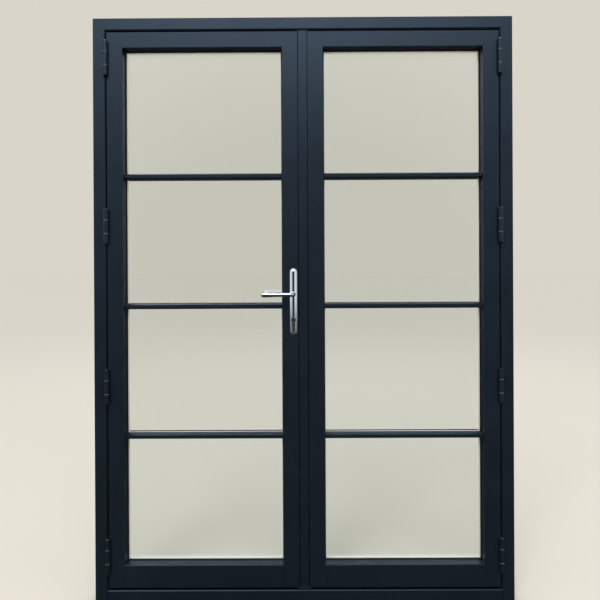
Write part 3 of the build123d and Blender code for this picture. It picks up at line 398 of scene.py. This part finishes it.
nickel, tree, shader, place = surface("nickel-plated brass", "B4B1A9", 0.26, Metallic=1.0)
vary(tree, grain(tree, place, 3), 0.22, 0.30, shader.inputs["Roughness"])

stainless, tree, shader, place = surface("brushed stainless steel", "A9A9A6", 0.32, Metallic=1.0)
brushed = grain(tree, place, 0.8, stretch=(1, 1, 0.02))
vary(tree, brushed, 0.26, 0.40, shader.inputs["Roughness"])
relief(tree, brushed, 0.004, shader)

zinc, tree, shader, place = surface("zinc-plated steel", "9A9C9B", 0.38, Metallic=1.0)
blend_colors(tree, grain(tree, place, 6, 4), "949897", "A3A39E", shader.inputs["Base Color"])

pin_steel, tree, shader, place = surface("burnished pin steel", "8D9094", 0.24, Metallic=1.0)
turned = grain(tree, place, 0.6, stretch=(1, 1, 12))
vary(tree, turned, 0.18, 0.30, shader.inputs["Roughness"])

mill, tree, shader, place = surface("mill-finish aluminium", "C3C5C7", 0.42, Metallic=1.0)
drawn = grain(tree, place, 1.2, stretch=(1, 0.03, 1))
vary(tree, drawn, 0.36, 0.50, shader.inputs["Roughness"])
print("made", ", ".join(m.name for m in (chrome, nickel, stainless, zinc, pin_steel, mill)))

# %% [markdown]
# ## The glass
# Clear float glass, four millimetres thick, with a faint green from the iron in it that only shows
# in its edges. Refraction comes from its real IOR. A shadow ray or a diffuse ray would stop at a
# refracting face, so for those rays the pane turns transparent, and light reaches what is behind.

# %% Glass material
FAINT_GREEN = "FCFEFD"

glass, tree, shader, place = surface(
    "clear float glass", FAINT_GREEN, 0.0, IOR=1.52, Transmission_Weight=1.0
)
path = add(tree, "ShaderNodeLightPath")
blocked = add(
    tree, "ShaderNodeMath", {0: path.outputs["Is Shadow Ray"], 1: path.outputs["Is Diffuse Ray"]},
    operation="MAXIMUM",
)
through = add(tree, "ShaderNodeBsdfTransparent", Color=linear(FAINT_GREEN))
mixed = add(
    tree, "ShaderNodeMixShader",
    {0: blocked.outputs[0], 1: shader.outputs[0], 2: through.outputs[0]},
)
tree.links.new(mixed.outputs[0], tree.nodes["Material Output"].inputs["Surface"])
print("made", glass.name)

# %% [markdown]
# ## Finishes on the model
# The record says which material slot each node takes. One table gives each slot its finish here, so
# the same bar never gets two coats.

# %% Give each node its finish
FINISHES = {
    "powder_coat": powder,
    "polyamide": polyamide,
    "mill_aluminium": mill,
    "epdm": rubber,
    "edge_sealant": sealant,
    "clear_glass": glass,
    "spacer_bar": spacer,
    "packer_plastic": packer,
    "stainless": stainless,
    "zinc_steel": zinc,
    "polished_chrome": chrome,
    "nickel_brass": nickel,
    "hinge_pin_steel": pin_steel,
    "bearing_nylon": acetal,
}
for part in frame["record"]["subparts"]:
    node = nodes[part["node"]]
    node.data.materials.clear()
    node.data.materials.append(FINISHES[part["material_slot"]])
print("dressed", len(nodes), "nodes in", len(FINISHES), "finishes")

# %% [markdown]
# ## Tools for new pieces
# Each new piece starts as a primitive and is shaped in edit mode. Faces are picked by where they
# are, since there is no mouse to click them with. A finished piece has its place in its mesh, and
# its object stays at the origin, like the parts of the solid model.

# %% Start, pick, finish and copy
MM = 0.001
HAIR = 0.02 * MM              # slack for picking by place
SMOOTH_BELOW = radians(35)    # edges flatter than this are shaded smooth


def start(kind, **settings):
    """Adds a primitive with nothing else selected, and opens it in edit mode."""
    bpy.ops.object.select_all(action="DESELECT")
    getattr(bpy.ops.mesh, "primitive_" + kind + "_add")(**settings)
    bpy.ops.object.transform_apply(location=True, rotation=True, scale=True)
    bpy.ops.object.mode_set(mode="EDIT")
    return bpy.context.object


def pick(piece, test, mode="FACE"):
    """Selects the faces whose centre, or the vertices whose place, passes a test."""
    bpy.ops.mesh.select_mode(type=mode)
    bpy.ops.mesh.select_all(action="DESELECT")
    bpy.ops.object.mode_set(mode="OBJECT")
    for part in piece.data.polygons if mode == "FACE" else piece.data.vertices:
        part.select = test(part.center if mode == "FACE" else part.co)
    bpy.ops.object.mode_set(mode="EDIT")


def finish_piece(piece, name, material, body):
    """Closes edit mode, then names, paints and hangs the piece on its body."""
    bpy.ops.mesh.select_all(action="SELECT")
    bpy.ops.mesh.normals_make_consistent(inside=False)
    bpy.ops.object.mode_set(mode="OBJECT")
    bpy.ops.object.shade_smooth_by_angle(angle=SMOOTH_BELOW)
    piece.name = piece.data.name = name
    piece.data.materials.append(material)
    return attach(piece, body)


def copy_piece(piece, name, move, body):
    """A copy with its own mesh, moved or mirrored by a matrix."""
    mesh = piece.data.copy()
    mesh.transform(move)
    if move.determinant() < 0:
        mesh.flip_normals()
    twin = bpy.data.objects.new(name, mesh)
    bpy.context.scene.collection.objects.link(twin)
    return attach(twin, body)


print("pieces are modelled in metres, and", 1 / MM, "mm make one")

# %% [markdown]
# ## The soft lips on the glass
# The rubber beside each pane ends in a thin lip that is pressed flat on the glass and keeps water
# out. It starts as a flat sheet as large as the opening. Inset gives it a border, the middle is
# deleted, and the ring that is left is extruded. Then its inner rim is pushed down to the glass, so
# the lip runs out thin. The other three rings are mirrored copies.

# %% Glass lips
EDGE_TO_RUBBER = 14.5 * MM    # from the edge of a pane to the rim of its rubber
GLASS_LIP_WIDE, GLASS_LIP_THICK, GLASS_LIP_THIN = 1.6 * MM, 1.1 * MM, 0.2 * MM

low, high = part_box("active_panes")
wide = high.x - low.x - 2 * EDGE_TO_RUBBER
tall = high.z - low.z - 2 * EDGE_TO_RUBBER
middle = (low + high) / 2
lip = start("plane", size=1, location=(middle.x, low.y, middle.z), rotation=(pi / 2, 0, 0))
bpy.ops.transform.resize(value=(wide, 1, tall), center_override=(middle.x, low.y, middle.z))
bpy.ops.mesh.inset(thickness=GLASS_LIP_WIDE)
bpy.ops.mesh.delete(type="FACE")
bpy.ops.mesh.select_all(action="SELECT")
bpy.ops.mesh.extrude_region_move(TRANSFORM_OT_translate={"value": (0, -GLASS_LIP_THICK, 0)})
glass_y = low.y
inner_x, inner_z = (wide - GLASS_LIP_WIDE) / 2, (tall - GLASS_LIP_WIDE) / 2


def on_thin_rim(co):
    """Whether a vertex is on the inner rim of the ring's outer side."""
    inside = abs(co.x - middle.x) < inner_x and abs(co.z - middle.z) < inner_z
    return inside and co.y < glass_y - GLASS_LIP_THICK / 2


pick(lip, on_thin_rim, "VERT")
bpy.ops.transform.translate(value=(0, GLASS_LIP_THICK - GLASS_LIP_THIN, 0))
finish_piece(lip, "active_glass_lip_outside", rubber, "active_leaf")
to_room = Matrix.Translation((0, low.y + high.y, 0)) @ Matrix.Diagonal((1, -1, 1, 1))
to_right = Matrix.Diagonal((-1, 1, 1, 1))
copy_piece(lip, "active_glass_lip_room", to_room, "active_leaf")
copy_piece(lip, "passive_glass_lip_outside", to_right, "passive_leaf")
copy_piece(lip, "passive_glass_lip_room", to_right @ to_room, "passive_leaf")
print("glass lip of", round(wide / MM, 1), "by", round(tall / MM, 1), "mm")

# %% [markdown]
# ## The bars between the panes
# A slim bar laid on a sealed unit would look false if the eye could slip past it through the unit.
# So a third bar lies between the panes, behind each pair, of the same white coated aluminium as
# the spacer round the edge. Seen from a little above or below, it is the pale line beside the dark
# bar. A stretched cube loses its two ends, so that a bevel only rounds the four long edges. Then
# the ends are closed, and the upper and lower faces are inset and pushed in, as a rolled spacer
# has a shallow channel there. The other five are copies.

# %% Bars between the panes
SPACER_PROUD, PANE_THICK, FREE = 3.0 * MM, 4.0 * MM, 0.2 * MM
BAR_TALL, BAR_ROUND = 16.4 * MM, 1.6 * MM
CHANNEL_RIM, CHANNEL_DEEP = 2.4 * MM, 0.6 * MM
OUTSIDE_BAR = 20.0 * MM       # height of the bars that are laid on the glass

bars_low, bars_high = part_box("active_glazing_bars")
first_z, last_z = bars_low.z + OUTSIDE_BAR / 2, bars_high.z - OUTSIDE_BAR / 2
bar_long = high.x - low.x - 2 * (EDGE_TO_RUBBER + SPACER_PROUD)
bar_deep = high.y - low.y - 2 * (PANE_THICK + FREE)
bar_middle, bar_size = (middle.x, middle.y, first_z), (bar_long, bar_deep, BAR_TALL)
bar = start("cube", size=1, location=bar_middle, scale=bar_size)
pick(bar, lambda co: abs(co.x - middle.x) > bar_long / 2 - FREE)
bpy.ops.mesh.delete(type="FACE")
bpy.ops.mesh.select_all(action="SELECT")
bpy.ops.mesh.bevel(offset=BAR_ROUND, segments=2)
bpy.ops.mesh.select_all(action="SELECT")
bpy.ops.mesh.fill_holes(sides=0)
pick(bar, lambda co: abs(co.z - first_z) > BAR_TALL / 2 - FREE)
bpy.ops.mesh.inset(thickness=CHANNEL_RIM, depth=-CHANNEL_DEEP, use_individual=True)
finish_piece(bar, "active_cavity_bar_1", spacer, "active_leaf")
for count in (1, 2, 3):
    up = Matrix.Translation((0, 0, (count - 1) * (last_z - first_z) / 2))
    if count > 1:
        copy_piece(bar, f"active_cavity_bar_{count}", up, "active_leaf")
    copy_piece(bar, f"passive_cavity_bar_{count}", to_right @ up, "passive_leaf")
print("bars of", round(bar_long / MM, 1), "by", round(bar_deep / MM, 1), "mm between the panes")

# %% [markdown]
# ## The lip of the meeting seal
# The strip on the centre bar stands a little clear of the active leaf, and a soft fin closes the
# rest. On the real doors it is one piece with the strip and folds over as the leaf shuts. It is
# drawn here as it lies when shut: a thin root that is extruded twice, each time leaning further
# outwards and getting thinner.

# %% Meeting lip
ROOT_WIDE, ROOT_THICK = 0.6 * MM, 1.2 * MM
FIRST_FOLD = (0.45, -0.30 * MM, 0.75)     # share of the reach, lean outwards, share of thickness
SECOND_FOLD = (0.55, -0.45 * MM, 0.6)

low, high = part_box("meeting_seal")
leaf_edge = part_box("active_lock_stile")[1].x
reach = low.x - leaf_edge
root = Vector((low.x + ROOT_WIDE / 2, (low.y + high.y) / 2, (low.z + high.z) / 2))
fin = start("cube", size=1, location=root, scale=(ROOT_WIDE, ROOT_THICK, high.z - low.z))
tip_x = low.x
for along, lean, thin in (FIRST_FOLD, SECOND_FOLD):
    pick(fin, lambda co: co.x < tip_x + HAIR)
    fold = (-along * reach, lean, 0)
    bpy.ops.mesh.extrude_region_move(TRANSFORM_OT_translate={"value": fold})
    bpy.ops.transform.resize(value=(1, thin, 1))
    tip_x -= along * reach
finish_piece(fin, "meeting_lip", rubber, "passive_leaf")
print("meeting lip reaches", round(reach / MM, 2), "mm")

# %% [markdown]
# ## Pads on the ends of the centre bar
# At the head and at the threshold the centre bar would leave a slit, since the stops are notched
# round it. A soft rubber pad on each end closes it and slides off sideways as the leaf opens. In
# front of the pads a thin dark lip does the same for the steel keeps of the bolts, so they don't
# glint in the slit: the lip is painted shade, a dark piece put where the slit is only in shade. All
# four start as a cube. The rim of the face that rubs is drawn back a little, so that the pad is
# crowned like a moulded one.

# %% End pads and lips
cap_low, cap_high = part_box("mullion_end_caps")
keep_low, keep_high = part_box("bolt_keeps")
PAD_WIDE, PAD_DEEP, PAD_Y = 2 * abs(leaf_edge) - 0.6 * MM, 14 * MM, 1.5 * MM
LIP_DEEP, LIP_OVER, LIP_BACK = 3.2 * MM, 0.5 * MM, 0.5 * MM
RUB, CROWN, RIM, NEAR = 0.2 * MM, 0.5 * MM, 1.2 * MM, 0.1 * MM


def end_pad(name, z_root, z_end, wide, deep, y):
    """A crowned rubber pad from the end of the centre bar to the frame that it rubs on."""
    outwards = 1 if z_end > z_root else -1
    size = (wide, deep, abs(z_end - z_root))
    pad = start("cube", size=1, location=(0, y, (z_root + z_end) / 2), scale=size)
    pick(pad, lambda co: abs(co.z - z_end) < NEAR)
    bpy.ops.mesh.inset(thickness=min(RIM, deep / 3))

    def on_rim(co):
        past_side = max(abs(co.x) - wide / 2, abs(co.y - y) - deep / 2)
        return abs(co.z - z_end) < NEAR and past_side > -NEAR

    pick(pad, on_rim, "VERT")
    bpy.ops.transform.translate(value=(0, 0, -outwards * CROWN))
    return finish_piece(pad, name, rubber, "passive_leaf")


lip_wide = keep_high.x - keep_low.x + 2 * LIP_OVER
lip_y = cap_low.y + LIP_BACK + LIP_DEEP / 2
ENDS = {"top": (cap_high.z, keep_high.z - RUB), "bottom": (cap_low.z, keep_low.z + RUB)}
for end, (z_root, z_end) in ENDS.items():
    end_pad("end_pad_" + end, z_root, z_end, PAD_WIDE, PAD_DEEP, PAD_Y)
    # the lips in front of the keeps are painted shade: dark rubber put where the slit is only
    # shaded
    end_pad("shade_lip_" + end, z_root, z_end, lip_wide, LIP_DEEP, lip_y)
print("pads of", round(PAD_WIDE / MM, 1), "mm and lips of", round(lip_wide / MM, 1), "mm")

# %% [markdown]
# ## Screws of the lock's faceplate
# The long steel faceplate on the edge of the active leaf is held by countersunk screws, and one
# longer screw beside the cylinder holds the cylinder in place. A head starts as a short cylinder.
# Its outer face is inset and raised a little for the dome. Two bisecting planes mark the slot
# across it, and the strip between them is extruded inwards. It is modelled once, and the others
# are copies.

# %% Faceplate screws
HEAD_R, HEAD_DEEP, HEAD_DOME, HEAD_RIM = 3.4 * MM, 0.6 * MM, 0.35 * MM, 0.9 * MM
HEAD_SUNK, HEAD_SIDES = 0.2 * MM, 32
SLOT_HALF, SLOT_DEEP = 0.35 * MM, 0.5 * MM
RAISED = HEAD_DEEP / 2 - HEAD_SUNK         # how far the flat head stands proud
ABOVE_CYLINDER = 8 * MM
FROM_END, FROM_CASE = 14 * MM, 150 * MM    # places of the screws along the faceplate

low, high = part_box("lock_faceplate")
cylinder_z = sum(corner.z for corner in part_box("lock_cylinder")) / 2 + ABOVE_CYLINDER
face_x, face_y = high.x, (low.y + high.y) / 2
head = start(
    "cylinder", radius=HEAD_R, depth=HEAD_DEEP, vertices=HEAD_SIDES,
    location=(face_x - HEAD_SUNK, face_y, cylinder_z), rotation=(0, pi / 2, 0),
)
pick(head, lambda co: co.x > face_x + RAISED / 2)
bpy.ops.mesh.inset(thickness=HEAD_RIM)
bpy.ops.transform.translate(value=(HEAD_DOME, 0, 0))
for side in (-SLOT_HALF, SLOT_HALF):
    bpy.ops.mesh.select_all(action="SELECT")
    bpy.ops.mesh.bisect(plane_co=(face_x, face_y, cylinder_z + side), plane_no=(0, 0, 1))
top_x = face_x + RAISED + HEAD_DOME
pick(head, lambda co: co.x > top_x - HAIR and abs(co.z - cylinder_z) < SLOT_HALF)
bpy.ops.mesh.extrude_region_move(TRANSFORM_OT_translate={"value": (-SLOT_DEEP, 0, 0)})
finish_piece(head, "faceplate_screw_1", stainless, "active_leaf")
spots = (low.z + FROM_END, low.z + FROM_CASE, high.z - FROM_CASE, high.z - FROM_END)
for count, z in enumerate(spots, 2):
    along = Matrix.Translation((0, 0, z - cylinder_z))
    copy_piece(head, f"faceplate_screw_{count}", along, "active_leaf")
print(len(spots) + 1, "screw heads,", len(head.data.polygons), "faces each")
